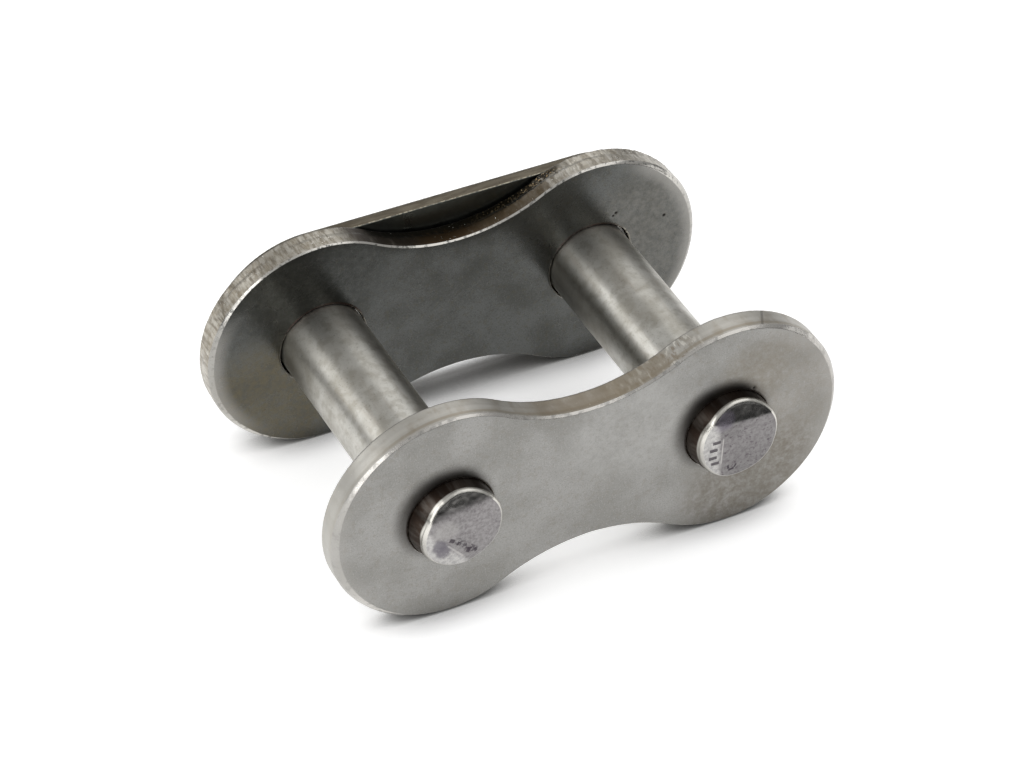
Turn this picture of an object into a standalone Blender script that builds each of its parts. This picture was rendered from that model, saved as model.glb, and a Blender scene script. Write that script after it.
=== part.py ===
"""A roller chain connecting link: a plate with two riveted pins, a detachable plate and a spring clip.

All lengths are in metres. +X runs along the chain, +Y along the pins from the riveted plate
to the clip, and +Z is up. The link stands on the lower edges of its two plates, and the
origin is on that surface, in the middle of the link's footprint.
"""
from collections import namedtuple
from math import acos, atan2, ceil, cos, pi, radians, sin, tan

import bmesh
import bpy
from mathutils import Matrix, Vector

# The distance between the two pins' axes, which gives the chain its size
PITCH = 0.01905

# Plates: two round lobes joined by a waist, blanked from strip, so one face has a rolled edge
LOBE_RADIUS = 0.0077
LOBE_OFFSET = 0.00015
WAIST_HEIGHT = 0.01026
PLATE_THICKNESS = 0.00175
PLATE_GAP = 0.0166
ROLL_WIDTH = 0.00050
ROLL_DEPTH = 0.00026
EDGE_BREAK = 0.00007
HOLE_BREAK = 0.00010

# Pins
PIN_RADIUS = 0.00286
STUB_LENGTH = 0.00138
TIP_ROUND = 0.00028
GROOVE_DEPTH = 0.00060
TAIL_LENGTH = 0.00140
TAIL_CHAMFER = 0.00045

# Spring clip: the slot's two seats, its wide middle and the mouth that snaps over the right pin
CLIP_THICKNESS = 0.00090
CLIP_HEIGHT = 0.01366
CLIP_EDGE = 0.00008
SEAT_REACH = 0.00080
SEAT_ANGLE = radians(50)
SLOT_SLOPE = radians(40)
SLOT_ROUND = 0.00080
THROAT_HALF = 0.00125
THROAT_ROUND = 0.00060
FLARE_ANGLE = radians(25)
TIP_ANGLE = radians(34)
LEG_TIP_ROUND = 0.00070

# Clearances: round the pins, and the plays along them
PRESS_CLEARANCE = 0.00002
SLIP_CLEARANCE = 0.00008
SEAT_CLEARANCE = 0.00006
HEAD_CLEARANCE = 0.00020
CLIP_PLAY = 0.00005
PLATE_PLAY = 0.00020

# The punch marks that spread each pin's front end over its plate: which way a mark faces, how
# far its inner edge lies from the pin's axis, and how deep it is at the rim
Mark = namedtuple("Mark", "facing chord depth")
LEFT_MARKS = (Mark(radians(91), 0.00148, 0.00042), Mark(radians(216), 0.00108, 0.00024),
              Mark(radians(300), 0.00225, 0.00015), Mark(radians(2), 0.00235, 0.00015))
RIGHT_MARKS = (Mark(radians(84), 0.00137, 0.00042), Mark(radians(186), 0.00126, 0.00024),
               Mark(radians(275), 0.00230, 0.00015), Mark(radians(355), 0.00235, 0.00015))
# The share of a mark's depth by which the rim beside it is pushed out, how closely that follows
# the mark, what is left of it halfway to the plate, and the share of the end that stays flat
# where no mark reaches
LIP_SHARE = 0.45
LIP_FOCUS = 3
LIP_FADE = 0.35
FLAT_LIMIT = 0.95

# Facets
ROUND_SIDES = 48
QUARTER_STEPS = 13
LOBE_END_STEPS = 4
WAIST_STEPS = 10
ROLL_STEPS = 4
TIP_STEPS = 3
ARC_TOLERANCE = 0.00001
SHARP_ANGLE = radians(35)

# Places along the pins, measured from their front ends
FIXED_FRONT = STUB_LENGTH
FIXED_BACK = FIXED_FRONT + PLATE_THICKNESS
LOOSE_FRONT = FIXED_BACK + PLATE_GAP
LOOSE_BACK = LOOSE_FRONT + PLATE_THICKNESS
CLIP_FRONT = LOOSE_BACK + PLATE_PLAY
CLIP_BACK = CLIP_FRONT + CLIP_THICKNESS
GROOVE_FRONT = CLIP_FRONT - CLIP_PLAY
GROOVE_BACK = CLIP_BACK + CLIP_PLAY
PIN_LENGTH = GROOVE_BACK + TAIL_LENGTH

HALF_PITCH = PITCH / 2
GROOVE_RADIUS = PIN_RADIUS - GROOVE_DEPTH


def clear_scene():
    """Empty the scene, so that the link is the only thing in it."""
    for thing in list(bpy.data.objects):
        bpy.data.objects.remove(thing)


def steel(name, colour, roughness):
    """Bare steel with the colour and the roughness of one kind of piece."""
    material = bpy.data.materials.new(name)
    material.use_nodes = True
    shader = material.node_tree.nodes["Principled BSDF"]
    shader.inputs["Base Color"].default_value = (*colour, 1.0)
    shader.inputs["Metallic"].default_value = 1.0
    shader.inputs["Roughness"].default_value = roughness
    return material


def place(name, bm, material, x, depth):
    """Turn a closed body into a named object, set at a place along the link and along the pins."""
    bmesh.ops.recalc_face_normals(bm, faces=bm.faces)
    mesh = bpy.data.meshes.new(name)
    bm.to_mesh(mesh)
    bm.free()
    mesh.shade_smooth()
    mesh.set_sharp_from_angle(angle=SHARP_ANGLE)
    mesh.materials.append(material)
    thing = bpy.data.objects.new(name, mesh)
    thing.location = (x, depth - PIN_LENGTH / 2, LOBE_RADIUS)
    bpy.context.collection.objects.link(thing)
    return thing


def ring(bm, points, depth):
    """A closed loop of corners at one depth."""
    return [bm.verts.new((x, depth, z)) for x, z in points]


def skin(bm, loops):
    """Join each loop to the next, which has as many corners, with a band of faces."""
    for near, far in zip(loops, loops[1:]):
        for i in range(len(near)):
            bm.faces.new((near[i - 1], near[i], far[i], far[i - 1]))


def edges_of(bm, loop):
    """The edges that join a loop's corners."""
    return [bm.edges.get((loop[i - 1], loop[i])) for i in range(len(loop))]


def arc(centre_x, centre_z, radius, start, end, steps):
    """Points along an arc, without its last one."""
    angles = [start + (end - start) * i / steps for i in range(steps)]
    return [(centre_x + radius * cos(angle), centre_z + radius * sin(angle)) for angle in angles]


def circle(centre_x, radius):
    """A round loop. All of them share one set of angles, so that flats face flats in a fit."""
    return arc(centre_x, 0, radius, 0, 2 * pi, ROUND_SIDES)


def plate_outline(inset):
    """The plate's outline drawn in by an inset: two lobes and the two hollow arcs tangent to them."""
    waist = WAIST_HEIGHT / 2
    reach = HALF_PITCH + LOBE_OFFSET
    hollow_radius = (reach ** 2 / (LOBE_RADIUS - waist) - LOBE_RADIUS - waist) / 2
    rise = waist + hollow_radius
    lean = atan2(rise, reach)
    stops = (lean - pi, -pi / 2, 0, pi / 2, pi - lean)
    counts = (LOBE_END_STEPS, QUARTER_STEPS, QUARTER_STEPS, LOBE_END_STEPS)
    points = []
    for side, turn in ((1, 0), (-1, pi)):
        for start, end, steps in zip(stops, stops[1:], counts):
            points += arc(side * reach, 0, LOBE_RADIUS - inset, turn + start, turn + end, steps)
        points += arc(0, side * rise, hollow_radius + inset, turn - lean, turn + lean - pi, WAIST_STEPS)
    return points


def plate_levels():
    """The plate's edge as (depth, inset): the rolled edge, the sheared wall and the broken back edge."""
    roll = [(ROLL_DEPTH * (1 - cos(angle)), ROLL_WIDTH * (1 - sin(angle)))
            for angle in (pi / 2 * i / ROLL_STEPS for i in range(ROLL_STEPS + 1))]
    return roll + [(PLATE_THICKNESS - EDGE_BREAK, 0), (PLATE_THICKNESS, EDGE_BREAK)]


def hole_levels(radius):
    """A punched hole as (depth, radius), with both of its edges broken."""
    return [(0, radius + HOLE_BREAK), (HOLE_BREAK, radius),
            (PLATE_THICKNESS - HOLE_BREAK, radius), (PLATE_THICKNESS, radius + HOLE_BREAK)]


def make_plate(name, clearance, front, material):
    """One side plate, with a hole for each pin."""
    bm = bmesh.new()
    walls = [[ring(bm, plate_outline(inset), depth) for depth, inset in plate_levels()]]
    for centre_x in (-HALF_PITCH, HALF_PITCH):
        walls.append([ring(bm, circle(centre_x, radius), depth)
                      for depth, radius in hole_levels(PIN_RADIUS + clearance)])
    for loops in walls:
        skin(bm, loops)
    for end in (0, -1):
        rims = [edge for loops in walls for edge in edges_of(bm, loops[end])]
        bmesh.ops.triangle_fill(bm, edges=rims, use_beauty=True)
    return place(name, bm, material, 0, front)


def staked_end(marks):
    """The pin's punched front end as loops of (x, depth, z) corners, from its flat to its plate."""
    spokes = []
    for i in range(ROUND_SIDES):
        angle = 2 * pi * i / ROUND_SIDES
        towards = [(mark, max(cos(angle - mark.facing), 0)) for mark in marks]
        push = sum(LIP_SHARE * mark.depth * share ** LIP_FOCUS for mark, share in towards)
        shoulder = PIN_RADIUS + push - TIP_ROUND
        flat = min([FLAT_LIMIT * shoulder] + [mark.chord / share for mark, share in towards if share])
        spoke = []
        for reach in (flat, (flat + shoulder) / 2, shoulder):
            cuts = [mark.depth * (reach * share - mark.chord) / (PIN_RADIUS - mark.chord)
                    for mark, share in towards]
            spoke.append((reach, max(0, *cuts)))
        sunk = spoke[-1][1]
        for step in range(1, TIP_STEPS + 1):
            lean = pi / 2 * step / TIP_STEPS
            spoke.append((shoulder + TIP_ROUND * sin(lean), sunk + TIP_ROUND * (1 - cos(lean))))
        halfway = (spoke[-1][1] + STUB_LENGTH) / 2
        spoke += [(PIN_RADIUS + push * LIP_FADE, halfway), (PIN_RADIUS, STUB_LENGTH)]
        spokes.append([(reach * cos(angle), depth, reach * sin(angle)) for reach, depth in spoke])
    return zip(*spokes)


def pin_levels():
    """The turned rest of the pin as (depth, radius): the body, the clip's groove and the tail."""
    return [(GROOVE_FRONT, PIN_RADIUS), (GROOVE_FRONT, GROOVE_RADIUS),
            (GROOVE_BACK, GROOVE_RADIUS), (GROOVE_BACK, PIN_RADIUS),
            (PIN_LENGTH - TAIL_CHAMFER, PIN_RADIUS), (PIN_LENGTH, PIN_RADIUS - TAIL_CHAMFER)]


def make_pin(name, side, marks, material):
    """One straight pin, staked at the front and grooved near the back."""
    bm = bmesh.new()
    loops = [[bm.verts.new(corner) for corner in loop] for loop in staked_end(marks)]
    loops += [ring(bm, circle(0, radius), depth) for depth, radius in pin_levels()]
    skin(bm, loops)
    for end in (0, -1):
        bm.faces.new(loops[end])
    return place(name, bm, material, side * HALF_PITCH, 0)


def tangents_meet(centre_x, radius, first, second):
    """The corner where the tangents to a circle at two angles cross."""
    middle = (first + second) / 2
    reach = radius / cos((first - second) / 2)
    return centre_x + reach * cos(middle), reach * sin(middle)


def clip_corners():
    """The clip's outline as (x, z, radius) corners, from the closed end along its slot and back."""
    outer = CLIP_HEIGHT / 2
    seat = GROOVE_RADIUS + SEAT_CLEARANCE
    slot = PIN_RADIUS + HEAD_CLEARANCE
    narrow = HALF_PITCH - SEAT_REACH
    wide = narrow - (slot - seat) / tan(SLOT_SLOPE)
    grip = seat * sin(SEAT_ANGLE) - THROAT_HALF
    throat = seat * cos(SEAT_ANGLE) + grip * tan(SEAT_ANGLE)
    left_over = outer - throat * cos(TIP_ANGLE) - THROAT_HALF * sin(TIP_ANGLE)
    run = left_over / cos(TIP_ANGLE - FLARE_ANGLE)
    upper = [
        (-HALF_PITCH - seat, seat, seat),
        (-narrow, seat, SLOT_ROUND),
        (-wide, slot, SLOT_ROUND),
        (wide, slot, SLOT_ROUND),
        (narrow, seat, SLOT_ROUND),
        (*tangents_meet(HALF_PITCH, seat, pi / 2, SEAT_ANGLE), seat),
        (HALF_PITCH + throat, THROAT_HALF, THROAT_ROUND),
        (HALF_PITCH + throat + run * cos(FLARE_ANGLE), THROAT_HALF + run * sin(FLARE_ANGLE), LEG_TIP_ROUND),
        (*tangents_meet(HALF_PITCH, outer, pi / 2, TIP_ANGLE), outer),
        (-HALF_PITCH - outer, outer, outer),
    ]
    return upper + [(x, -z, radius) for x, z, radius in reversed(upper)]


def rounded(corners):
    """The closed outline through the corners, with an arc of its own radius at each."""
    points = []
    for i, (x, z, radius) in enumerate(corners):
        here = Vector((x, z))
        back = (Vector(corners[i - 1][:2]) - here).normalized()
        ahead = (Vector(corners[(i + 1) % len(corners)][:2]) - here).normalized()
        half = back.angle(ahead) / 2
        centre = here + (back + ahead).normalized() * radius / sin(half)
        spoke = here + back * radius / tan(half) - centre
        turn = pi - 2 * half
        if back.x * ahead.y - back.y * ahead.x > 0:
            turn = -turn
        steps = ceil(abs(turn) / (2 * acos(1 - ARC_TOLERANCE / radius)))
        for step in range(steps + 1):
            point = centre + Matrix.Rotation(turn * step / steps, 2) @ spoke
            if all((point - other).length > ARC_TOLERANCE for other in points[-1:] + points[:1]):
                points.append(point)
    return points


def make_clip(material):
    """The spring clip, cut from flat strip, open at the right-hand pin."""
    bm = bmesh.new()
    outline = rounded(clip_corners())
    loops = [ring(bm, outline, depth) for depth in (0, CLIP_THICKNESS)]
    skin(bm, loops)
    for loop in loops:
        bm.faces.new(loop)
    clip = place("spring_clip", bm, material, 0, CLIP_FRONT)
    edge = clip.modifiers.new("Edge", "BEVEL")
    edge.width = CLIP_EDGE
    edge.segments = 2
    edge.limit_method = "ANGLE"
    edge.angle_limit = radians(60)
    return clip


clear_scene()
plate_steel = steel("plate_steel", (0.42, 0.41, 0.39), 0.42)
pin_steel = steel("pin_steel", (0.45, 0.43, 0.40), 0.30)
clip_steel = steel("clip_steel", (0.24, 0.22, 0.18), 0.38)
make_plate("fixed_plate", PRESS_CLEARANCE, FIXED_FRONT, plate_steel)
make_plate("detachable_plate", SLIP_CLEARANCE, LOOSE_FRONT, plate_steel.copy())
make_pin("pin_left", -1, LEFT_MARKS, pin_steel)
make_pin("pin_right", 1, RIGHT_MARKS, pin_steel.copy())
make_clip(clip_steel)
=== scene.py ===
"""The looks of a roller chain connecting link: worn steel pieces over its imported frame, on a pale table.

Lengths are in metres. +X runs along the chain, +Y along the pins from the riveted plate to the
clip, and +Z is up. Every piece is made where it lies at rest, so its object sits at the origin.
"""

from collections import namedtuple
from math import acos, atan2, ceil, cos, pi, radians, sin, tan

import bmesh
import bpy
import numpy as np
from mathutils import Matrix, Vector, geometry, noise


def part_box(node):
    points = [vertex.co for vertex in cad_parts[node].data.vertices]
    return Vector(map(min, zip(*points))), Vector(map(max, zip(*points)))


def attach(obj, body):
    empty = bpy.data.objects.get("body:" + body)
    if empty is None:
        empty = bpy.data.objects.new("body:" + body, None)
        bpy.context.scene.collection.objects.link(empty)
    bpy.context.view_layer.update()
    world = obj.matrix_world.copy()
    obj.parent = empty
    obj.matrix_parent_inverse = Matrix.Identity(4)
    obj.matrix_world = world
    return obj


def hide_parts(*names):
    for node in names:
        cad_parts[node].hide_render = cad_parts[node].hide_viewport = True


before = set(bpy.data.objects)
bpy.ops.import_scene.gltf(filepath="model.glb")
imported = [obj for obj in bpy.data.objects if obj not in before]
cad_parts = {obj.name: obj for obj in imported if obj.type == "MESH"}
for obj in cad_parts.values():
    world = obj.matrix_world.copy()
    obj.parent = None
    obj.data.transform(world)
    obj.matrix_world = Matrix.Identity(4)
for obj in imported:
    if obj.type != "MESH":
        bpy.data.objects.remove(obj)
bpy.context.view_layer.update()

MM = 0.001

# The link's sizes
HALF_PITCH = 9.525 * MM
LOBE_RADIUS = 7.7 * MM
LOBE_OFFSET = 0.15 * MM
WAIST_HALF = 5.13 * MM
PLATE_THICKNESS = 1.75 * MM
PIN_RADIUS = 2.86 * MM
STUB_LENGTH = 1.38 * MM
GROOVE_DEPTH = 0.60 * MM
CLIP_PLAY = 0.05 * MM
TAIL_CHAMFER = 0.45 * MM
CLIP_HALF_HEIGHT = 6.83 * MM

FIXED_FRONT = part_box("fixed_plate")[0].y
LOOSE_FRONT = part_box("detachable_plate")[0].y
CLIP_FRONT, CLIP_BACK = (corner.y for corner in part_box("spring_clip"))
PIN_FRONT, PIN_BACK = (corner.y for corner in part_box("pin_left"))
AXIS_HEIGHT = LOBE_RADIUS


# Small tools for shapes

SHARP_ANGLE = radians(38)
# The triangulation keeps the faces inside the outline and merges corners that are this close
CDT_INSIDE, CDT_EPSILON = 1, 1e-6


def jitter(points, scale, seed):
    """Smooth noise between about -1 and 1 at each point, with features 1 / scale long."""
    shift = Vector((seed * 7.31, seed * 3.17, seed * 5.73))
    return np.array([noise.noise(Vector(point) * scale + shift) for point in points])


def bump_at(value, centre, width):
    """A smooth bump of height 1 round a centre."""
    return np.exp(-((value - centre) / width) ** 2)


def turn_from(angle, centre):
    """How far an angle lies from a centre, between -pi and pi."""
    return (angle - centre + pi) % (2 * pi) - pi


def bump_round(angles, facing, width):
    """A smooth bump of height 1 round a facing. The facing and the width are in degrees."""
    return bump_at(turn_from(angles, radians(facing)), 0, radians(width))


def round_spots(angles):
    """Places on a circle of radius 1, one for each angle, for the noise to read."""
    return np.c_[np.cos(angles), np.sin(angles), angles * 0]


def put(name, data):
    """Adds an object to the scene."""
    thing = bpy.data.objects.new(name, data)
    bpy.context.scene.collection.objects.link(thing)
    return thing


def paint(thing, name, value_at):
    """Gives each corner of a piece a value from its place, for its material to read."""
    mesh = thing.data
    places = np.zeros(len(mesh.vertices) * 3)
    mesh.vertices.foreach_get("co", places)
    layer = mesh.attributes.new(name, "FLOAT", "POINT")
    layer.data.foreach_set("value", np.asarray(value_at(places.reshape(-1, 3)), np.float32))


class Shell:
    """A closed body gathered as loops of corners and the faces that join them."""

    def __init__(self):
        self.corners = []
        self.faces = []

    def loop(self, points):
        """Adds a closed loop of corners and returns their numbers."""
        first = len(self.corners)
        self.corners += [tuple(point) for point in points]
        return list(range(first, len(self.corners)))

    def skin(self, rings):
        """Joins each loop to the next one. All of them have as many corners."""
        for near, far in zip(rings, rings[1:]):
            self.faces += [(near[i - 1], near[i], far[i], far[i - 1]) for i in range(len(near))]

    def cover(self, loops, extra, y_of):
        """Fills the flat between an outer loop and the round ones in it, through extra (x, z) points."""
        flat = [(self.corners[i][0], self.corners[i][2]) for loop in loops for i in loop]
        numbers = [i for loop in loops for i in loop]
        owner = [rank for rank, loop in enumerate(loops) for _ in loop]
        edges = []
        first = 0
        for loop in loops:
            edges += [(first + i, first + (i + 1) % len(loop)) for i in range(len(loop))]
            first += len(loop)
        spots = [Vector(point) / MM for point in flat + list(extra)]
        made = geometry.delaunay_2d_cdt(spots, edges, [], CDT_INSIDE, CDT_EPSILON)
        names, owners = [], []
        for spot, source in zip(made[0], made[3]):
            if source and source[0] < len(numbers):
                names.append(numbers[source[0]])
                owners.append(owner[source[0]])
            else:
                x, z = spot * MM
                self.corners.append((x, y_of(x, z), z))
                names.append(len(self.corners) - 1)
                owners.append(-1)
        # A face with all its corners on one inner loop would fill that hole, so it is left out
        for face in made[2]:
            held = {owners[i] for i in face}
            if len(held) > 1 or held <= {-1, 0}:
                self.faces.append(tuple(names[i] for i in face))

    def piece(self, name, material, body, node, slot):
        """Turns the shell into an object that stands for a CAD node."""
        mesh = bpy.data.meshes.new(name)
        mesh.from_pydata(self.corners, [], self.faces)
        bm = bmesh.new()
        bm.from_mesh(mesh)
        loose = [v for v in bm.verts if not v.link_faces]
        bmesh.ops.delete(bm, geom=loose, context="VERTS")
        bmesh.ops.recalc_face_normals(bm, faces=bm.faces)
        bm.to_mesh(mesh)
        bm.free()
        mesh.shade_smooth()
        mesh.set_sharp_from_angle(angle=SHARP_ANGLE)
        mesh.materials.append(material)
        thing = put(name, mesh)
        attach(thing, body)
        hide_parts(node)
        return thing


# Plates

def plate_rim(step):
    """The plate's outline as centres, directions, radii and signs, one row for each point along it.

    A point at an inset is centre + direction * (radius - sign * inset).
    """
    reach = HALF_PITCH + LOBE_OFFSET
    hollow = (reach ** 2 / (LOBE_RADIUS - WAIST_HALF) - LOBE_RADIUS - WAIST_HALF) / 2
    rise = WAIST_HALF + hollow
    lean = atan2(rise, reach)
    rows = []
    for side, turn in ((1, 0), (-1, pi)):
        for centre, radius, sign, start, end in (
                ((side * reach, 0), LOBE_RADIUS, 1, turn + lean - pi, turn + pi - lean),
                ((0, side * rise), hollow, -1, turn - lean, turn + lean - pi)):
            steps = ceil(abs(end - start) * radius / step)
            for i in range(steps):
                angle = start + (end - start) * i / steps
                rows.append((*centre, cos(angle), sin(angle), radius, sign))
    return np.array(rows)


def rim_points(rim, inset, y):
    """The corners of the outline drawn in by an inset, at one depth. Both may be arrays."""
    reach = rim[:, 4] - rim[:, 5] * inset
    return np.c_[rim[:, 0] + rim[:, 2] * reach, np.broadcast_to(y, len(rim)),
                 AXIS_HEIGHT + rim[:, 1] + rim[:, 3] * reach]


# The power for the worn front edge: 1 is a quarter round and 2 a straight chamfer
CHAMFER_POWER = 2.0
# The first four sizes are in metres. The depths of the tear, scratches, lumps and groove are in
# millimetres, and so are a pit's x, z, size and depth.
PlateLook = namedtuple("PlateLook", "dish_width dish_depth edge_radius back_break tear scratch lumps groove "
                                    "seed pits soft_edges")
SoftEdge = namedtuple("SoftEdge", "side facing width share")


def softened(rim, soft_edges):
    """How much softer the front edge is at each point of the outline: 0 where it is crisp."""
    facing = np.arctan2(rim[:, 3], rim[:, 2])
    total = np.zeros(len(rim))
    for edge in soft_edges:
        on_lobe = (rim[:, 5] > 0) & (rim[:, 0] * edge.side > 0)
        total += on_lobe * edge.share * bump_round(facing, edge.facing, edge.width)
    return total


DISH_RINGS = 7
EDGE_RINGS = 11
WALL_RINGS = 16
BREAK_RINGS = 3
HOLE_SIDES = 220
# Depth and distance from the hole's edge in millimetres, and how much of the wear shows there
HOLE_STEPS = tuple((0, grow, 0) for grow in (1.9, 1.6, 1.35, 1.2, 1.1, 1.0, 0.9, 0.8, 0.7, 0.55, 0.4)) + (
    (0, 0.3, 0.2), (0, 0.2, 0.5), (0, 0.10, 1), (0.03, 0.04, 1), (0.10, 0.0, 0.8), (0.35, 0, 0.4),
    (0.8, 0, 0), (1.3, 0, 0), (1.65, 0, 0), (1.72, 0.04, 0), (1.75, 0.10, 0), (1.75, 0.3, 0), (1.75, 0.8, 0))
# How far from its middle a pit gets rings of corners, as shares of its size
PIT_RINGS = (0.05, 0.35, 0.7, 1.05, 1.5, 2.1)


def plate_body(front, clearance, look, hole_wear):
    """One side plate: a worn front edge, a sheared and torn wall, punched holes and small pits."""

    def front_y(x, z):
        """Where the front face lies at a point, with the pits sunk in it."""
        return front + sum(depth * MM * np.exp(-((x / MM - px) ** 2 + (z / MM - pz) ** 2) / size ** 2)
                           for px, pz, size, depth in look.pits)

    shell = Shell()
    rim = plate_rim(0.11 * MM)
    base = rim_points(rim, 0, front)
    slow, mid, streak, fine = (jitter(base, scale, look.seed + number)
                               for number, scale in enumerate((260, 1500, 5200, 11000)))
    soft = softened(rim, look.soft_edges)
    dish_width = look.dish_width * (1 + 0.16 * slow + 0.05 * mid + 0.8 * soft)
    dish_depth = look.dish_depth * (1 + 0.3 * slow + 3.0 * soft)
    turn = look.edge_radius * (1 + 0.18 * slow + 0.08 * mid + 2.6 * soft)
    power = CHAMFER_POWER - 0.75 * np.minimum(soft, 1.2)
    tear_line = PLATE_THICKNESS * (0.62 + 0.10 * slow + 0.035 * mid + 0.02 * streak)
    loops = []
    for i in range(DISH_RINGS):
        left = (1 - i / (DISH_RINGS - 0.5)) ** 2
        loops.append(rim_points(rim, turn + (dish_width - turn) * left, front + dish_depth * (1 - left) ** 2))
    for i in range(1, EDGE_RINGS + 1):
        angle = pi / 2 * (0.05 + 0.95 * i / EDGE_RINGS)
        loops.append(rim_points(rim, turn * (1 - sin(angle) ** power),
                                front + dish_depth + turn * (1 - cos(angle) ** power)))
    roll_depth = dish_depth + turn
    for i in range(1, WALL_RINGS + 1):
        share = i / WALL_RINGS
        depth = roll_depth + (PLATE_THICKNESS - look.back_break - roll_depth) * share
        torn = 1 / (1 + np.exp(-(depth - tear_line) / (0.018 * MM)))
        spots = rim_points(rim, 0, depth)
        rough = jitter(spots * (1, 0.35, 1), 6500, look.seed + 5)
        grain = jitter(spots, 9000, look.seed + 6)
        fade = min(1, 3 * share)
        scratch = look.scratch * ((0.5 + 0.5 * streak) * 0.6 + (0.5 + 0.5 * fine) * 0.4)
        lumps = look.lumps * np.clip(spots[:, 0] / MM - 2, 0, 4) / 4 * (0.5 + 0.5 * grain)
        groove = look.groove * bump_at(depth, 0.42 * MM * (1 + 0.15 * slow), 0.09 * MM) * (1 + 0.4 * mid)
        rugged = 0.5 + 0.5 * rough + 0.4 * streak
        jagged = 2.6 * look.lumps * bump_at(spots[:, 0], 5.2 * MM, 2.8 * MM) * rugged
        tear = look.tear * (0.6 + 0.3 * rough + 0.25 * grain + 0.2 * mid)
        dip = fade * (scratch + groove + lumps) + torn * (tear + jagged * (spots[:, 2] > AXIS_HEIGHT))
        dip = np.maximum(dip, 0) * MM
        loops.append(rim_points(rim, dip, front + depth))
    width = look.back_break * (1 + 0.4 * streak + 0.3 * mid)
    for i in range(1, BREAK_RINGS + 1):
        angle = pi / 2 * i / BREAK_RINGS
        loops.append(rim_points(rim, dip + width * (1 - cos(angle)),
                                front + PLATE_THICKNESS - look.back_break * (1 - sin(angle))))
    rings = [shell.loop(points) for points in loops]
    shell.skin(rings)
    holes = []
    turns = 2 * pi * np.arange(HOLE_SIDES) / HOLE_SIDES
    circle = round_spots(turns)
    radius = PIN_RADIUS + clearance
    for side in (-1, 1):
        wear = sum((size * MM * bump_round(turns, at, width) for at, width, size in hole_wear[side]),
                   np.zeros(HOLE_SIDES))
        ragged = 0.012 * MM * jitter(circle, 5, look.seed + side)
        wear *= 1 + 0.5 * jitter(circle, 14, look.seed + side + 4)
        column = []
        for depth, grow, share in HOLE_STEPS:
            reach = radius + grow * MM + share * (wear + np.maximum(ragged, 0))
            x, z = side * HALF_PITCH + reach * np.cos(turns), AXIS_HEIGHT + reach * np.sin(turns)
            y = front_y(x, z) if depth == 0 else front + depth * MM
            column.append(shell.loop(np.c_[x, np.broadcast_to(y, HOLE_SIDES), z]))
        shell.skin(column)
        holes.append(column)
    spots = inner_grid(0.8 * MM, 1.0 * MM, PIN_RADIUS + 2.2 * MM)
    for px, pz, size, _ in look.pits:
        if np.hypot(abs(px) * MM - HALF_PITCH, pz * MM - AXIS_HEIGHT) > PIN_RADIUS + 2.5 * MM:
            spots += [(px * MM + size * k * MM * cos(a), pz * MM + size * k * MM * sin(a))
                      for k in PIT_RINGS for a in np.arange(0, 2 * pi, pi / 6)]
    shell.cover([rings[0]] + [column[0] for column in holes], spots, front_y)
    back_spots = inner_grid(0.8 * MM, 0.6 * MM, PIN_RADIUS + 1.2 * MM)
    shell.cover([rings[-1]] + [column[-1] for column in holes], back_spots,
                lambda x, z: front + PLATE_THICKNESS)
    return shell


def inner_grid(step, inset, hole):
    """Points (x, z) a step apart on a plate's flat, inside an inset and outside its holes."""
    outline = rim_points(plate_rim(0.5 * MM), inset, 0)[:, (0, 2)]
    ahead = np.roll(outline, -1, axis=0)
    found = []
    for row, z in enumerate(np.arange(0.3 * MM, 2 * LOBE_RADIUS, step * 0.87)):
        for x in np.arange(-2 * HALF_PITCH, 2 * HALF_PITCH, step) + step / 2 * (row % 2):
            crosses = (outline[:, 1] > z) != (ahead[:, 1] > z)
            at = outline[:, 0] + (z - outline[:, 1]) * (ahead[:, 0] - outline[:, 0]) / (
                ahead[:, 1] - outline[:, 1] + 1e-12)
            inside = np.count_nonzero(crosses & (at > x)) % 2
            clear = all((x - side * HALF_PITCH) ** 2 + (z - AXIS_HEIGHT) ** 2 > hole ** 2 for side in (-1, 1))
            if inside and clear:
                found.append((x, z))
    return found


# Pins

# A punch mark's side of the end, in degrees, the distance of its border from the axis and its depth
Mark = namedtuple("Mark", "facing chord depth")
LEFT_MARKS = (Mark(97, 1.45, 0.45), Mark(221, 1.25, 0.22), Mark(300, 2.25, 0.13), Mark(2, 2.35, 0.13))
RIGHT_MARKS = (Mark(86, 1.55, 0.44), Mark(183, 1.13, 0.22), Mark(275, 2.30, 0.13), Mark(355, 2.35, 0.13))
LIP_SHARE = 0.16
TIP_ROUND = 0.24
WIDE_ROUND = 0.08
WornCorner = namedtuple("WornCorner", "facing width depth")
LEFT_CORNER = WornCorner(160, 66, 0.42)
RIGHT_CORNER = WornCorner(182, 60, 0.33)
PIN_SIDES = 256
FLAT_RINGS = 44
LIP_RINGS = 7
STUB_RINGS = 9
BODY_RINGS = 5
# For the left pin, -1, and the right one: how soft the marks' borders are, how far they wander, and
# over what depth the paint of the first two marks fades in
MARK_BLEND = {-1: 0.055, 1: 0.018}
MARK_WANDER = {-1: 0.16, 1: 0.05}
MARK_FADE = {-1: (0.16, 0.04), 1: (0.03, 0.04)}
MARK_REACH = 0.9 * MM


def mark_depths(side, marks, x, z, seed):
    """Each punch mark's own depth at points of the pin's end, in millimetres. It is below 0 outside."""
    flat = np.c_[x, np.zeros(len(x)), z]
    depths = []
    for number, mark in enumerate(marks):
        facing = radians(mark.facing)
        reach = x * cos(facing) + z * sin(facing)
        bend = jitter(flat, 0.9, seed + 11 + number) + 0.4 * jitter(flat, 3.6, seed + 15 + number)
        inside = reach - mark.chord - MARK_WANDER[side] * bend
        depths.append(mark.depth * inside / (PIN_RADIUS / MM - mark.chord))
    return depths


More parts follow.
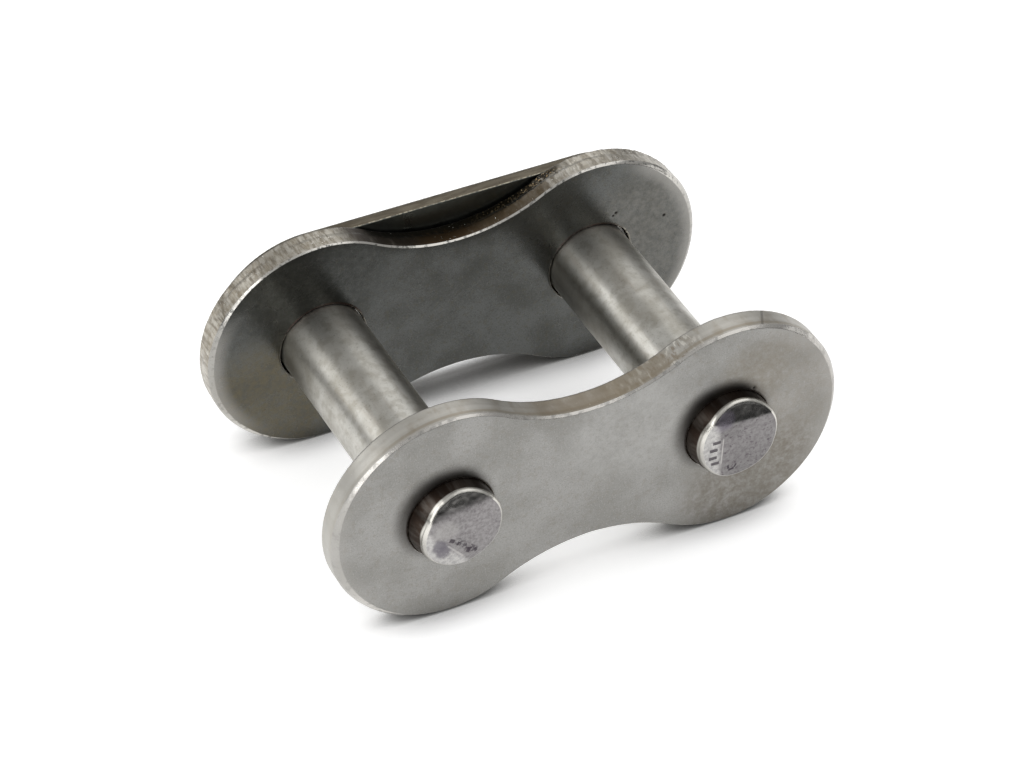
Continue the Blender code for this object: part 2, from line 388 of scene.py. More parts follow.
def punched(side, marks, number, seed):
    """A function that says how far into one punch mark a place lies: 1 inside, 0 on the flat."""

    def value_at(places):
        x, z = (places[:, 0] - side * HALF_PITCH) / MM, (places[:, 2] - AXIS_HEIGHT) / MM
        depths = mark_depths(side, marks, x, z, seed)
        deepest = depths[number] - np.maximum(depths[1 - number], 0)
        return np.clip(deepest / MARK_FADE[side][number], 0, 1) * (places[:, 1] < PIN_FRONT + MARK_REACH)
    return value_at


def along_lip(places):
    """1 on the rounded lip round a pin's end, by the order in which the corners were made."""
    rank = np.arange(len(places)) // PIN_SIDES - FLAT_RINGS
    return (rank >= 1) & (rank < LIP_RINGS)


def pin_body(side, marks, corner, seed):
    """One pin: its staked front end, the ground body, the groove and the tail."""
    shell = Shell()
    turns = 2 * pi * np.arange(PIN_SIDES) / PIN_SIDES
    push = np.zeros(PIN_SIDES)
    for mark in marks:
        share = np.maximum(np.cos(turns - radians(mark.facing)), 0)
        push += LIP_SHARE * mark.depth * share ** 3
    push -= corner.depth * bump_round(turns, corner.facing, corner.width)
    radius = PIN_RADIUS / MM
    rounding = TIP_ROUND + WIDE_ROUND * bump_round(turns, 180, 45)
    shoulder = radius + push - rounding
    circle = round_spots(turns)
    ragged = jitter(circle, 7, seed)
    wave = jitter(circle, 2.2, seed + 3)

    def sink(x, z):
        """The end's depth at points that far from the axis, in millimetres."""
        depth = np.zeros(len(x))
        flat = np.c_[x, np.zeros(len(x)), z]
        blend = MARK_BLEND[side]
        for own in mark_depths(side, marks, x, z, seed):
            own = blend * np.log1p(np.exp(np.clip(own / blend, -30, 30)))
            depth = np.maximum(depth, own)
        depth += 0.010 * jitter(flat, 1.3, seed + 5) + 0.004 * jitter(flat, 3.5, seed + 6)
        return np.maximum(depth, 0)

    def ring(reach, y):
        """A loop of corners round the pin's axis."""
        return shell.loop(np.c_[side * HALF_PITCH + reach * np.cos(turns), np.broadcast_to(y, PIN_SIDES),
                                AXIS_HEIGHT + reach * np.sin(turns)])

    # The staked end and the stub, as distances from the axis and depths in millimetres
    profile = []
    for i in range(1, FLAT_RINGS + 1):
        reach = shoulder * i / FLAT_RINGS
        profile.append((reach, sink(reach * np.cos(turns), reach * np.sin(turns))))
    edge = profile[-1][1]
    for i in range(1, LIP_RINGS + 1):
        lean = pi / 2 * i / LIP_RINGS
        profile.append((shoulder + rounding * sin(lean) + 0.008 * ragged * sin(lean),
                        edge + rounding * (1 - cos(lean))))
    start = profile[-1][1]
    stub = STUB_LENGTH / MM
    for i in range(1, STUB_RINGS + 1):
        share = i / STUB_RINGS
        fade = (1 - share) ** 1.6
        profile.append((radius + push * fade * (1 + 0.25 * wave) + 0.008 * ragged * fade,
                        start + (stub - start) * share))

    # The body, the groove and the tail, as places along the pin and distances from its axis
    groove = PIN_RADIUS - GROOVE_DEPTH
    near, far = CLIP_FRONT - CLIP_PLAY, CLIP_BACK + CLIP_PLAY
    edge_break, fillet = 0.04 * MM, 0.08 * MM
    chamfer, tail = PIN_BACK - TAIL_CHAMFER, PIN_RADIUS - TAIL_CHAMFER
    rest = [(FIXED_FRONT + 8.7 * MM * i / BODY_RINGS, PIN_RADIUS) for i in range(1, BODY_RINGS + 1)]
    rest += [(LOOSE_FRONT, PIN_RADIUS), (near - edge_break, PIN_RADIUS), (near, PIN_RADIUS - edge_break),
             (near, groove + fillet), (near + fillet, groove), (far - fillet, groove), (far, groove + fillet),
             (far, PIN_RADIUS - edge_break), (far + edge_break, PIN_RADIUS),
             (chamfer - 0.03 * MM, PIN_RADIUS), (chamfer + 0.03 * MM, PIN_RADIUS - 0.02 * MM),
             (PIN_BACK - 0.05 * MM, tail + 0.02 * MM), (PIN_BACK, tail - 0.03 * MM)]
    rings = [ring(reach * MM, PIN_FRONT + depth * MM) for reach, depth in profile]
    rings += [ring(reach, y) for y, reach in rest]
    shell.skin(rings)
    for ends in (rings[0], rings[-1]):
        middle = np.mean([shell.corners[i] for i in ends], axis=0)
        shell.corners.append(tuple(middle))
        centre = len(shell.corners) - 1
        shell.faces += [(ends[i - 1], ends[i], centre) for i in range(len(ends))]
    return shell


# Clip

def tangents_meet(centre_x, radius, first, second):
    """The corner where the tangents to a circle at two angles cross."""
    middle = (first + second) / 2
    reach = radius / cos((first - second) / 2)
    return centre_x + reach * cos(middle), reach * sin(middle)


def clip_corners():
    """The clip's outline as (x, z, radius) corners, from the closed end along its slot and back."""
    outer = CLIP_HALF_HEIGHT
    seat = PIN_RADIUS - GROOVE_DEPTH + 0.06 * MM
    slot = PIN_RADIUS + 0.20 * MM
    seat_angle, flare, tip = radians(50), radians(25), radians(34)
    throat_half = 1.25 * MM
    narrow = HALF_PITCH - 0.80 * MM
    wide = narrow - (slot - seat) / tan(radians(40))
    grip = seat * sin(seat_angle) - throat_half
    throat = seat * cos(seat_angle) + grip * tan(seat_angle)
    left_over = outer - throat * cos(tip) - throat_half * sin(tip)
    run = left_over / cos(tip - flare)
    upper = [
        (-HALF_PITCH - seat, seat, seat),
        (-narrow, seat, 0.8 * MM),
        (-wide, slot, 0.8 * MM),
        (wide, slot, 0.8 * MM),
        (narrow, seat, 0.8 * MM),
        (*tangents_meet(HALF_PITCH, seat, pi / 2, seat_angle), seat),
        (HALF_PITCH + throat, throat_half, 0.6 * MM),
        (HALF_PITCH + throat + run * cos(flare), throat_half + run * sin(flare), 0.7 * MM),
        (*tangents_meet(HALF_PITCH, outer, pi / 2, tip), outer),
        (-HALF_PITCH - outer, outer, outer),
    ]
    return upper + [(x, -z, radius) for x, z, radius in reversed(upper)]


def rounded(corners):
    """The closed outline through the corners, with an arc of its own radius at each."""
    points = []
    for i, (x, z, radius) in enumerate(corners):
        here = Vector((x, z))
        back = (Vector(corners[i - 1][:2]) - here).normalized()
        ahead = (Vector(corners[(i + 1) % len(corners)][:2]) - here).normalized()
        half = back.angle(ahead) / 2
        centre = here + (back + ahead).normalized() * radius / sin(half)
        spoke = here + back * radius / tan(half) - centre
        turn = pi - 2 * half
        if back.x * ahead.y - back.y * ahead.x > 0:
            turn = -turn
        steps = ceil(abs(turn) / (2 * acos(1 - 0.002 * MM / radius)))
        for step in range(steps + 1):
            point = centre + Matrix.Rotation(turn * step / steps, 2) @ spoke
            if all((point - other).length > 0.01 * MM for other in points[-1:] + points[:1]):
                points.append(point)
    return points


def evenly(points, step):
    """The closed outline with extra points, so that none of its sides is longer than a step."""
    dense = []
    for i, point in enumerate(points):
        ahead = points[(i + 1) % len(points)]
        parts = ceil((ahead - point).length / step)
        dense += [point.lerp(ahead, part / parts) for part in range(parts)]
    return np.array(dense)


def clip_body():
    """The spring clip, punched from flat strip: rolled at the front, torn at the back."""
    shell = Shell()
    outline = evenly(rounded(clip_corners()), 0.14 * MM)
    ahead = np.roll(outline, -1, axis=0) - np.roll(outline, 1, axis=0)
    ahead /= np.linalg.norm(ahead, axis=1)[:, None]
    inward = np.c_[ahead[:, 1], -ahead[:, 0]]
    area = np.sum(outline[:, 0] * np.roll(outline[:, 1], -1) - np.roll(outline[:, 0], -1) * outline[:, 1])
    if area > 0:
        inward = -inward
    spots = np.c_[outline[:, 0], np.zeros(len(outline)), outline[:, 1]]
    slow = jitter(spots, 400, 31)
    streak = jitter(spots, 5000, 32)
    thick = CLIP_BACK - CLIP_FRONT
    roll_width, roll_depth = 0.11 * MM, 0.09 * MM
    tear_inset, tear_width, tear_depth = 0.03 * MM, 0.06 * MM, 0.07 * MM
    levels = []
    for i in range(5):
        angle = pi / 2 * i / 4
        levels.append((roll_width * (1 - sin(angle)) * (1 + 0.3 * slow), roll_depth * (1 - cos(angle))))
    for share in (0.25, 0.4, 0.55, 0.7, 0.82):
        torn = max(0.0, share - 0.5) * 2
        inset = 0.004 * (1 + streak) + torn * 0.02 * (1 + 0.5 * slow + 0.5 * streak)
        levels.append((inset * MM, thick * share))
    for i in (1, 2, 3):
        angle = pi / 2 * i / 3
        levels.append((tear_inset + tear_width * (1 - cos(angle)), thick - tear_depth * (1 - sin(angle))))
    rings = []
    for inset, depth in levels:
        flat = outline + inward * np.broadcast_to(inset, len(outline))[:, None]
        rings.append(shell.loop(np.c_[flat[:, 0], np.full(len(flat), CLIP_FRONT + depth),
                                      AXIS_HEIGHT + flat[:, 1]]))
    shell.skin(rings)
    for ends, y in ((rings[0], CLIP_FRONT), (rings[-1], CLIP_BACK)):
        shell.cover([ends], [], lambda x, z: y)
    return shell


# Materials

class Nodes:
    """Adds nodes to a tree with short calls."""

    def __init__(self, tree):
        self.tree = tree

    def node(self, kind, values=None, **settings):
        """A new node with its settings, and with a value or a link for each socket that is named."""
        made = self.tree.nodes.new(kind)
        for key, value in settings.items():
            setattr(made, key, value)
        for key, value in (values or {}).items():
            self.feed(made.inputs[key], value)
        return made

    def feed(self, socket, value):
        """Links a socket to another one, or sets its value."""
        if isinstance(value, bpy.types.NodeSocket):
            self.tree.links.new(value, socket)
        else:
            socket.default_value = value

    def ramp(self, value, low, high, start=0.0, end=1.0, curve="SMOOTHSTEP"):
        """A value taken from one range to another, and held at both ends."""
        made = self.node("ShaderNodeMapRange", {"Value": value, "From Min": low, "From Max": high,
                                                "To Min": start, "To Max": end}, interpolation_type=curve)
        return made.outputs["Result"]

    def math(self, operation, first, second=0.0, third=0.0):
        return self.node("ShaderNodeMath", {0: first, 1: second, 2: third}, operation=operation).outputs[0]

    def both(self, *masks):
        """Where all the masks are."""
        total = masks[0]
        for mask in masks[1:]:
            total = self.math("MULTIPLY", total, mask)
        return total


class Shade(Nodes):
    """One steel's nodes. Places are the piece's own, in metres."""

    def __init__(self, name):
        self.material = bpy.data.materials.new(name)
        self.material.use_nodes = True
        super().__init__(self.material.node_tree)
        self.shader = self.tree.nodes["Principled BSDF"]
        self.place = self.node("ShaderNodeTexCoord").outputs["Object"]

    def noise(self, size, detail=3.0, stretch=(1, 1, 1), shift=(0, 0, 0), rough=0.55):
        """Noise between 0 and 1, with features of a size in millimetres."""
        place = self.node("ShaderNodeMapping", {"Vector": self.place, "Scale": stretch, "Location": shift})
        made = self.node("ShaderNodeTexNoise", {"Vector": place.outputs[0], "Scale": 1 / (size * MM),
                                                "Detail": detail, "Roughness": rough})
        return made.outputs["Fac"]

    def mix(self, factor, first, second):
        """A colour between two, by a factor."""
        values = {0: factor, 6: first, 7: second}
        for number in (6, 7):
            if isinstance(values[number], tuple):
                values[number] = (*values[number], 1.0)
        return self.node("ShaderNodeMix", values, data_type="RGBA").outputs[2]

    def tinted(self, colour, tint, *masks):
        """The colour, with a tint over it where all the masks are."""
        return self.mix(self.both(*masks), colour, tint)

    def axis(self, letter):
        return self.node("ShaderNodeSeparateXYZ", {0: self.place}).outputs[letter]

    def facing(self, letter):
        """The surface's own direction along an axis, between -1 and 1."""
        normal = self.node("ShaderNodeNewGeometry").outputs["Normal"]
        return self.node("ShaderNodeSeparateXYZ", {0: normal}).outputs[letter]

    def along(self, letter, low, high, *ends):
        """A ramp along an axis, between two places in millimetres."""
        return self.ramp(self.axis(letter), low * MM, high * MM, *ends)

    def near(self, x, y, z, size, soft, wobble=0.0):
        """A mask that is 1 within a size of a point, in millimetres. Its border may wander."""
        far = self.node("ShaderNodeVectorMath", {0: self.place, 1: (x * MM, y * MM, z * MM)},
                        operation="DISTANCE").outputs["Value"]
        if wobble:
            wander = self.noise(2 * size, 4.0, shift=(x, 0, z))
            far = self.math("ADD", far, self.ramp(wander, 0.25, 0.75, -wobble * MM, wobble * MM))
        return self.ramp(far, size * MM, (size + soft) * MM, 1.0, 0.0)

    def from_axis(self, x, z):
        """The distance in metres from a line along Y through (x, z) in millimetres."""
        flat = self.node("ShaderNodeVectorMath", {0: self.place, 1: (1, 0, 1)}, operation="MULTIPLY")
        return self.node("ShaderNodeVectorMath", {0: flat.outputs[0], 1: (x * MM, 0, z * MM)},
                         operation="DISTANCE").outputs["Value"]

    def stroke(self, stroke, side):
        """A mask for a short straight mark on a pin's end, with its angle in degrees."""
        x = self.math("SUBTRACT", self.axis("X"), side * HALF_PITCH + stroke.x * MM)
        z = self.math("SUBTRACT", self.axis("Z"), AXIS_HEIGHT + stroke.z * MM)
        lean, rise = cos(radians(stroke.angle)), sin(radians(stroke.angle))
        along = self.math("ADD", self.both(x, lean), self.both(z, rise))
        across = self.math("SUBTRACT", self.both(z, lean), self.both(x, rise))
        half, thick = stroke.length / 2 * MM, stroke.width * MM
        return self.both(self.ramp(self.math("ABSOLUTE", along), half, half * 0.75),
                         self.ramp(self.math("ABSOLUTE", across), thick, thick * 0.45))

    def finish(self, colour, roughness, height, distance):
        bump = self.node("ShaderNodeBump", {"Height": height, "Distance": distance * MM, "Strength": 1.0})
        self.feed(self.shader.inputs["Base Color"], colour)
        self.feed(self.shader.inputs["Roughness"], roughness)
        self.feed(self.shader.inputs["Normal"], bump.outputs["Normal"])
        self.shader.inputs["Metallic"].default_value = 1.0
        return self.material


# A scar is a row of its x, lean, size and share
# Of the fields, the third from last is the share of painted shadow round the stubs
# and the last is the share of a painted reflection inside the lobes' ends
Plate = namedtuple("Plate", "front light dark stain wall_light wall_dark wall_stain rim rough streaky "
                            "torn rust grime scars halo")
# Painted shadow round the stubs
STUB_SHADE = (0.045, 0.040, 0.036)
PIT = (0.012, 0.010, 0.009)
# Painted shade where the plate's wall meets the clip
CLIP_SHADE = (0.022, 0.018, 0.012)
RUST = (0.075, 0.022, 0.012)
SCAR = (0.06, 0.05, 0.045)
GLINT = (0.95, 0.93, 0.88)


def scaled(colour, factor):
    """A colour made brighter or darker."""
    return tuple(factor * part for part in colour)


def plate_steel(name, plate, wall_spots, face_spots, pits):
    """Tumbled plate steel: mottled faces, sheared walls, bright worn edges and rust, with painted shade round
    the stubs and by the clip, and a painted reflection inside the lobes' ends.
    """
    s = Shade(name)
    front, middle = plate.front / MM, AXIS_HEIGHT / MM
    holes = (-HALF_PITCH / MM, HALF_PITCH / MM)
    cloud = s.noise(3.2, 4.0, shift=(0.1, 0.2, 0.3))
    fleck = s.noise(0.35, 3.0)
    grain = s.noise(0.09, 2.0)
    depth = s.math("SUBTRACT", s.axis("Y"), plate.front)
    upright = s.math("ABSOLUTE", s.facing("Y"))
    wall = s.ramp(upright, 0.45, 0.15)

    face = s.mix(s.ramp(cloud, 0.35, 0.68), plate.light, plate.dark)
    face = s.tinted(face, plate.stain, s.ramp(fleck, 0.50, 0.70), 0.35)
    face = s.tinted(face, scaled(plate.dark, 0.72), s.ramp(grain, 0.54, 0.70), 0.55)
    face = s.tinted(face, scaled(plate.light, 1.25), s.ramp(grain, 0.44, 0.32), 0.45)
    mottle = s.ramp(s.noise(0.45, 5.0, rough=0.75), 0.30, 0.70, 0.25, 1.0)
    for x, z, size, tint, share in face_spots:
        face = s.tinted(face, tint, s.near(x, front, z, size, size), share, mottle)
    for hole in holes:
        # Painted shadow round each stub on the face, darkest at its upper left, where the face mirrors the
        # stub's dark wall
        face = s.tinted(face, STUB_SHADE, s.near(hole - 0.5, front, middle + 0.6, 2.65, 1.1), plate.grime)
    # Painted reflection: a paler band inside the outline at both lobes' ends, where the rounded edge mirrors
    # the open table
    for end, low, high in ((-1, 12.5, 9.5), (1, 16.0, 14.0)):
        outer = s.ramp(s.from_axis(end * HALF_PITCH / MM, middle), 6.4 * MM, 7.6 * MM)
        face = s.tinted(face, scaled(plate.rim, 0.58), outer, s.along("X", end * 11.0, end * 14.5),
                        s.along("Z", low, high), s.along("Z", 1.0, 4.5), plate.halo)
    for x, z, size, _ in pits:
        face = s.mix(s.near(x, front, z, size * 0.4, size), face, PIT)

    streaks = s.noise(0.24, 4.0, stretch=(1, 0.22, 0.92), rough=0.65)
    coarse = s.noise(0.8, 3.0, stretch=(1, 0.6, 1))
    bands = s.noise(0.30, 2.0, stretch=(0.15, 1, 0.15))
    lumps = s.noise(0.30, 3.0, stretch=(1, 0.36, 0.9), shift=(0.3, 0.1, 0), rough=0.6)
    side = s.mix(s.both(plate.streaky, s.ramp(streaks, 0.38, 0.66)), plate.wall_light, plate.wall_dark)
    side = s.tinted(side, plate.wall_stain, s.ramp(coarse, 0.48, 0.66), 0.40)
    side = s.tinted(side, plate.wall_dark, s.ramp(bands, 0.50, 0.64), 0.30)
    line = s.both(s.ramp(depth, 0.24 * MM, 0.36 * MM), s.ramp(depth, 0.62 * MM, 0.48 * MM))
    side = s.tinted(side, plate.wall_stain, line, 0.65 - 0.45 * plate.streaky)
    pale = s.both(s.ramp(depth, 0.66 * MM, 0.82 * MM), s.ramp(depth, 1.10 * MM, 0.92 * MM))
    side = s.tinted(side, plate.rim, pale, 0.22 - 0.22 * plate.streaky)
    torn = s.both(plate.torn, s.along("X", 2.0, 6.0, 0.25, 1.0))
    side = s.tinted(side, (0.10, 0.078, 0.052), torn, s.ramp(lumps, 0.47, 0.37), 0.8)
    side = s.tinted(side, (0.50, 0.48, 0.44), torn, s.ramp(lumps, 0.54, 0.66))
    messy = s.both(1 - plate.streaky, s.along("X", 0.5, 2.5), s.along("X", 8.5, 6.0))
    side = s.tinted(side, (0.19, 0.14, 0.09), messy, s.ramp(lumps, 0.46, 0.36), 0.65)
    side = s.tinted(side, (0.68, 0.66, 0.60), messy, s.ramp(lumps, 0.55, 0.64))
    patchy = s.ramp(coarse, 0.20, 0.50, 0.60, 1.0)
    for x, z, size, tint, share in wall_spots:
        side = s.tinted(side, tint, s.near(x, front + 0.9, z, size, size * 0.7), share, patchy)
    # Painted shade: the back of the wall's upper half is laid nearly black by the clip, with brown specks on
    # it
    frayed = s.ramp(s.noise(0.34, 4.0, stretch=(1, 0.5, 1), rough=0.7), 0.3, 0.7, -0.30 * MM, 0.30 * MM)
    clip_shade = s.both(plate.torn, s.ramp(s.math("ADD", depth, frayed), 1.10 * MM, 1.22 * MM),
                  s.ramp(s.axis("Z"), AXIS_HEIGHT, AXIS_HEIGHT + MM), s.along("X", -6.5, -5.0),
                  s.along("X", 8.5, 7.0), 1.2)
    side = s.mix(clip_shade, side, CLIP_SHADE)
    specks = s.ramp(s.noise(0.15, 2.0, shift=(0.6, 0, 0)), 0.56, 0.64)
    side = s.tinted(side, (0.36, 0.27, 0.16), clip_shade, specks, s.along("X", 1.0, 3.5))
    sparks = s.ramp(s.noise(0.13, 1.0, shift=(0, 0.4, 0)), 0.70, 0.76)
    side = s.tinted(side, GLINT, wall, plate.streaky, sparks, s.ramp(s.noise(1.6, 1.0), 0.48, 0.58))
    for x, lean, size, share in plate.scars:
        across = s.math("SUBTRACT", s.math("MULTIPLY_ADD", depth, lean, s.axis("X")), x * MM)
        side = s.tinted(side, SCAR, s.ramp(s.math("ABSOLUTE", across), size * MM, size * 0.4 * MM),
                        s.ramp(s.axis("Z"), AXIS_HEIGHT, AXIS_HEIGHT + 3 * MM), share)

    colour = s.mix(wall, face, side)
    rubbed = s.ramp(s.noise(0.45 - 0.15 * plate.streaky, 3.0, shift=(0, 0, 0.7)), 0.34, 0.50,
                    0.45 - 0.2 * plate.streaky, 1.0)
    # Towards both ends of the plate less of the rim's bright steel is laid on: painted shade, where the lamps
    # light the rim strongly
    worn = s.both(s.ramp(upright, 0.10, 0.30), s.ramp(upright, 0.985, 0.93),
                  s.ramp(depth, 0.8 * MM, 0.5 * MM, 0.25, 1.0), rubbed,
                  s.along("X", -17.2, -14.5, 0.25, 1.0), s.along("X", 14.5, 17.2, 1.0, 0.4))
    colour = s.mix(worn, colour, plate.rim)
    for hole in holes:
        colour = s.tinted(colour, RUST, plate.rust, s.ramp(s.from_axis(hole, middle), 3.16 * MM, 3.00 * MM),
                          s.ramp(s.axis("Z"), AXIS_HEIGHT + 1.2 * MM, AXIS_HEIGHT + 2.2 * MM),
                          s.ramp(fleck, 0.35, 0.55, 0.4, 1.0))

    rough = s.ramp(cloud, 0.3, 0.7, plate.rough, plate.rough + 0.09)
    rough = s.math("ADD", rough, s.both(wall, 0.04))
    rough = s.math("SUBTRACT", rough, s.both(worn, 0.12))
    height = s.math("ADD", s.both(fleck, 0.45), s.both(grain, 0.35))
    height = s.math("ADD", height, s.both(streaks, wall, 2.6 * plate.streaky + 0.2))
    height = s.math("ADD", height, s.both(lumps, wall, torn, 7.0))
    return s.finish(colour, rough, height, 0.008)


DARK_CUT = (0.055, 0.045, 0.055)
# A painted highlight along the border of a punch mark
RIDGE_HIGHLIGHT = (0.56, 0.54, 0.52)
STUB_STAIN = (0.030, 0.017, 0.011)
Stroke = namedtuple("Stroke", "x z length angle width tint share broken", defaults=(DARK_CUT, 0.85, False))


def pin_steel(name, side, seed, stains, strokes, flat_tone):
    """Ground and hardened pin steel: fine rings, faint bands and specks, a stained stub and a punched end."""
    s = Shade(name)
    cloud = s.noise(2.4, 3.0, shift=(seed, 0, 0))
    band = s.noise(0.5, 3.0, stretch=(1, 0.10, 1), shift=(seed, 0, 0))
    speck = s.noise(0.12, 2.0, shift=(seed, 0, 0))
    blot = s.noise(0.7, 4.0, shift=(0, seed, 0))
    rings = s.noise(0.10, 2.0, stretch=(0.1, 1, 0.1))
    colour = s.mix(s.ramp(cloud, 0.35, 0.7), (0.53, 0.52, 0.482), (0.40, 0.385, 0.345))
    colour = s.tinted(colour, (0.32, 0.27, 0.21), s.ramp(band, 0.5, 0.75), 0.30)
    colour = s.tinted(colour, (0.30, 0.28, 0.235), s.ramp(blot, 0.46, 0.64), 0.44)
    colour = s.tinted(colour, (0.20, 0.19, 0.165), s.ramp(speck, 0.56, 0.72), 0.40)
    colour = s.tinted(colour, (0.66, 0.65, 0.61), s.along("Y", -3.5, -6.5), 0.4)
    # Painted shade: darker on the pins' lower sides near the detachable plate, which hems them in and mirrors
    # dark in them
    colour = s.tinted(colour, (0.115, 0.11, 0.095), s.along("Y", 1.5 if side < 0 else -1.0, 6.5),
                      s.along("Y", 10, 8), s.ramp(s.facing("Z"), 0.60, -0.05), 0.8)

    upright = s.math("ABSOLUTE", s.facing("Y"))
    depth = s.math("SUBTRACT", s.axis("Y"), PIN_FRONT)
    rounded_lip, top_mark, side_mark = (s.node("ShaderNodeAttribute", attribute_name=painted).outputs["Fac"]
                                        for painted in ("lip", "top_mark", "side_mark"))
    stub = s.both(s.ramp(upright, 0.85, 0.70), s.math("SUBTRACT", 1.0, rounded_lip),
                  s.ramp(depth, STUB_LENGTH + 0.3 * MM, STUB_LENGTH + 0.1 * MM))
    colour = s.tinted(colour, STUB_STAIN, stub, s.ramp(band, 0.3, 0.6, 0.86, 0.97))

    ended = s.both(s.ramp(upright, 0.80, 0.92), s.ramp(depth, 1.2 * MM, 0.9 * MM))
    cut = s.math("MAXIMUM", top_mark, side_mark)
    patch = s.noise(0.26, 4.0, shift=(seed, 0.5, 0), rough=0.65)
    light, dark = (scaled(tone, flat_tone) for tone in ((0.33, 0.317, 0.315), (0.245, 0.23, 0.232)))
    flat = s.mix(s.ramp(patch, 0.38, 0.66), light, dark)
    flat = s.tinted(flat, (0.13, 0.11, 0.12), s.ramp(speck, 0.55, 0.7), 0.35)
    dots = s.ramp(s.noise(0.24, 1.5, shift=(0.3, seed, 0)), 0.57, 0.66)
    flat = s.tinted(flat, (0.105, 0.088, 0.098), dots, s.ramp(s.noise(1.3, 1.0), 0.32, 0.50),
                    0.30 if side < 0 else 0.75)
    pale = s.mix(s.ramp(patch, 0.40, 0.64), (0.48, 0.47, 0.455), (0.355, 0.345, 0.34))
    # The top mark is painted dark grey beyond what its tilt mirrors: painted reflection of the dim room. The
    # side mark is painted paler than the flat
    shades = s.ramp(s.noise(0.9, 2.0, shift=(0, 0, seed)), 0.42, 0.62)
    grey = s.mix(shades, (0.085, 0.083, 0.080), (0.165, 0.16, 0.153))
    end = s.mix(top_mark, s.mix(side_mark, flat, pale), grey)
    patchy = s.ramp(patch, 0.28, 0.46, 0.6, 1.0)
    for x, z, size, tint, share in stains:
        near = s.near(side * HALF_PITCH / MM + x, PIN_FRONT / MM + 0.15, AXIS_HEIGHT / MM + z,
                      size, size * 0.9, size * 0.3)
        end = s.tinted(end, tint, near, share, patchy)
    broken = s.ramp(s.noise(0.26, 2.0, shift=(0, 0.2, seed)), 0.47, 0.55)
    struck_in = 0.0
    for stroke in strokes:
        mask = s.stroke(stroke, side)
        if stroke.broken:
            mask = s.both(mask, broken)
        end = s.tinted(end, stroke.tint, mask, stroke.share)
        if stroke.tint == DARK_CUT:
            struck_in = s.math("MAXIMUM", struck_in, mask)
    colour = s.mix(ended, colour, end)

    lip = s.both(rounded_lip, s.ramp(upright, 0.97, 0.93))
    colour = s.tinted(colour, (0.70, 0.68, 0.63), lip, s.ramp(s.noise(0.4, 2.0), 0.35, 0.5, 0.6, 0.95))
    # Painted shade: the lip darker on its lower part, below the pin's axis
    low = s.ramp(s.axis("Z"), AXIS_HEIGHT + 0.9 * MM, AXIS_HEIGHT - 0.7 * MM)
    colour = s.tinted(colour, (0.34, 0.33, 0.31), lip, low, 0.65)
    rough = s.ramp(cloud, 0.3, 0.7, 0.33, 0.41)
    rough = s.math("ADD", rough, s.both(ended, cut, -0.10))
    rough = s.math("SUBTRACT", rough, s.both(lip, 0.08))
    height = s.math("ADD", s.both(speck, 0.40), s.both(rings, 0.30))
    height = s.math("ADD", height, s.both(patch, ended, s.math("MULTIPLY_ADD", cut, -0.5, 0.6)))
    height = s.math("SUBTRACT", height, s.both(struck_in, ended, 3.0))
    s.shader.inputs["Anisotropic"].default_value = 0.72
    s.shader.inputs["Anisotropic Rotation"].default_value = 0.25
    tangent = s.node("ShaderNodeTangent", direction_type="RADIAL", axis="Y")
    s.feed(s.shader.inputs["Tangent"], tangent.outputs[0])
    return s.finish(colour, rough, height, 0.006)


def clip_steel(name):
    """Oiled, blued spring steel, worn bright along its edges."""
    s = Shade(name)
    cloud = s.noise(1.6, 4.0)
    streaks = s.noise(0.3, 3.0, stretch=(0.25, 1, 1))
    fleck = s.noise(0.2, 2.0)
    colour = s.mix(s.ramp(cloud, 0.35, 0.7), (0.153, 0.160, 0.147), (0.124, 0.131, 0.121))
    edge = s.math("SUBTRACT", 1.0, s.math("ABSOLUTE", s.facing("Y")))
    side = s.mix(s.ramp(streaks, 0.35, 0.65), (0.135, 0.118, 0.088), (0.090, 0.076, 0.056))
    colour = s.mix(s.ramp(edge, 0.2, 0.8), colour, side)
    worn = s.both(s.ramp(edge, 0.10, 0.30), s.ramp(edge, 0.9, 0.6))
    colour = s.tinted(colour, (0.40, 0.37, 0.29), worn, s.ramp(fleck, 0.42, 0.58))
    rough = s.ramp(cloud, 0.3, 0.7, 0.26, 0.38)
    height = s.math("ADD", s.both(fleck, 0.5), s.both(streaks, 0.6))
    return s.finish(colour, rough, height, 0.006)


# The five pieces

FRONT_LOOK = PlateLook(
    dish_width=0.60 * MM, dish_depth=0.012 * MM, edge_radius=0.15 * MM, back_break=0.13 * MM, tear=0.010,
    scratch=0.001, lumps=0.0, groove=0.016, seed=3, pits=((11.24, 10.35, 0.10, 0.05),),
    soft_edges=(SoftEdge(-1, 205, 45, 1.0), SoftEdge(1, 10, 45, 0.6)))
BACK_LOOK = PlateLook(
    dish_width=0.75 * MM, dish_depth=0.020 * MM, edge_radius=0.105 * MM, back_break=0.07 * MM, tear=0.045,
    scratch=0.008, lumps=0.05, groove=0.0, seed=9,
    pits=((11.27, 11.17, 0.12, 0.05), (11.08, 11.0, 0.10, 0.04), (14.85, 9.82, 0.13, 0.03)),
    soft_edges=(SoftEdge(-1, 205, 42, 1.3), SoftEdge(1, 0, 55, 1.6)))
FIXED_CLEARANCE, LOOSE_CLEARANCE = 0.02 * MM, 0.08 * MM
# The worn places of each hole's edge: their side and width in degrees, and their size in millimetres
NO_WEAR = {-1: (), 1: ()}
LOOSE_WEAR = {-1: ((195, 24, 0.05),), 1: ((35, 16, 0.12), (60, 8, 0.05))}

FIXED_PAINT = Plate(
    front=FIXED_FRONT, light=(0.312, 0.307, 0.294), dark=(0.266, 0.261, 0.245), stain=(0.235, 0.217, 0.188),
    wall_light=(0.42, 0.405, 0.37), wall_dark=(0.35, 0.33, 0.29), wall_stain=(0.26, 0.22, 0.165),
    rim=(0.60, 0.58, 0.545), rough=0.30, streaky=0.15, torn=0.0, rust=0.0, grime=0.8,
    scars=((11.54, -0.52, 0.13, 0.45),), halo=0.45)
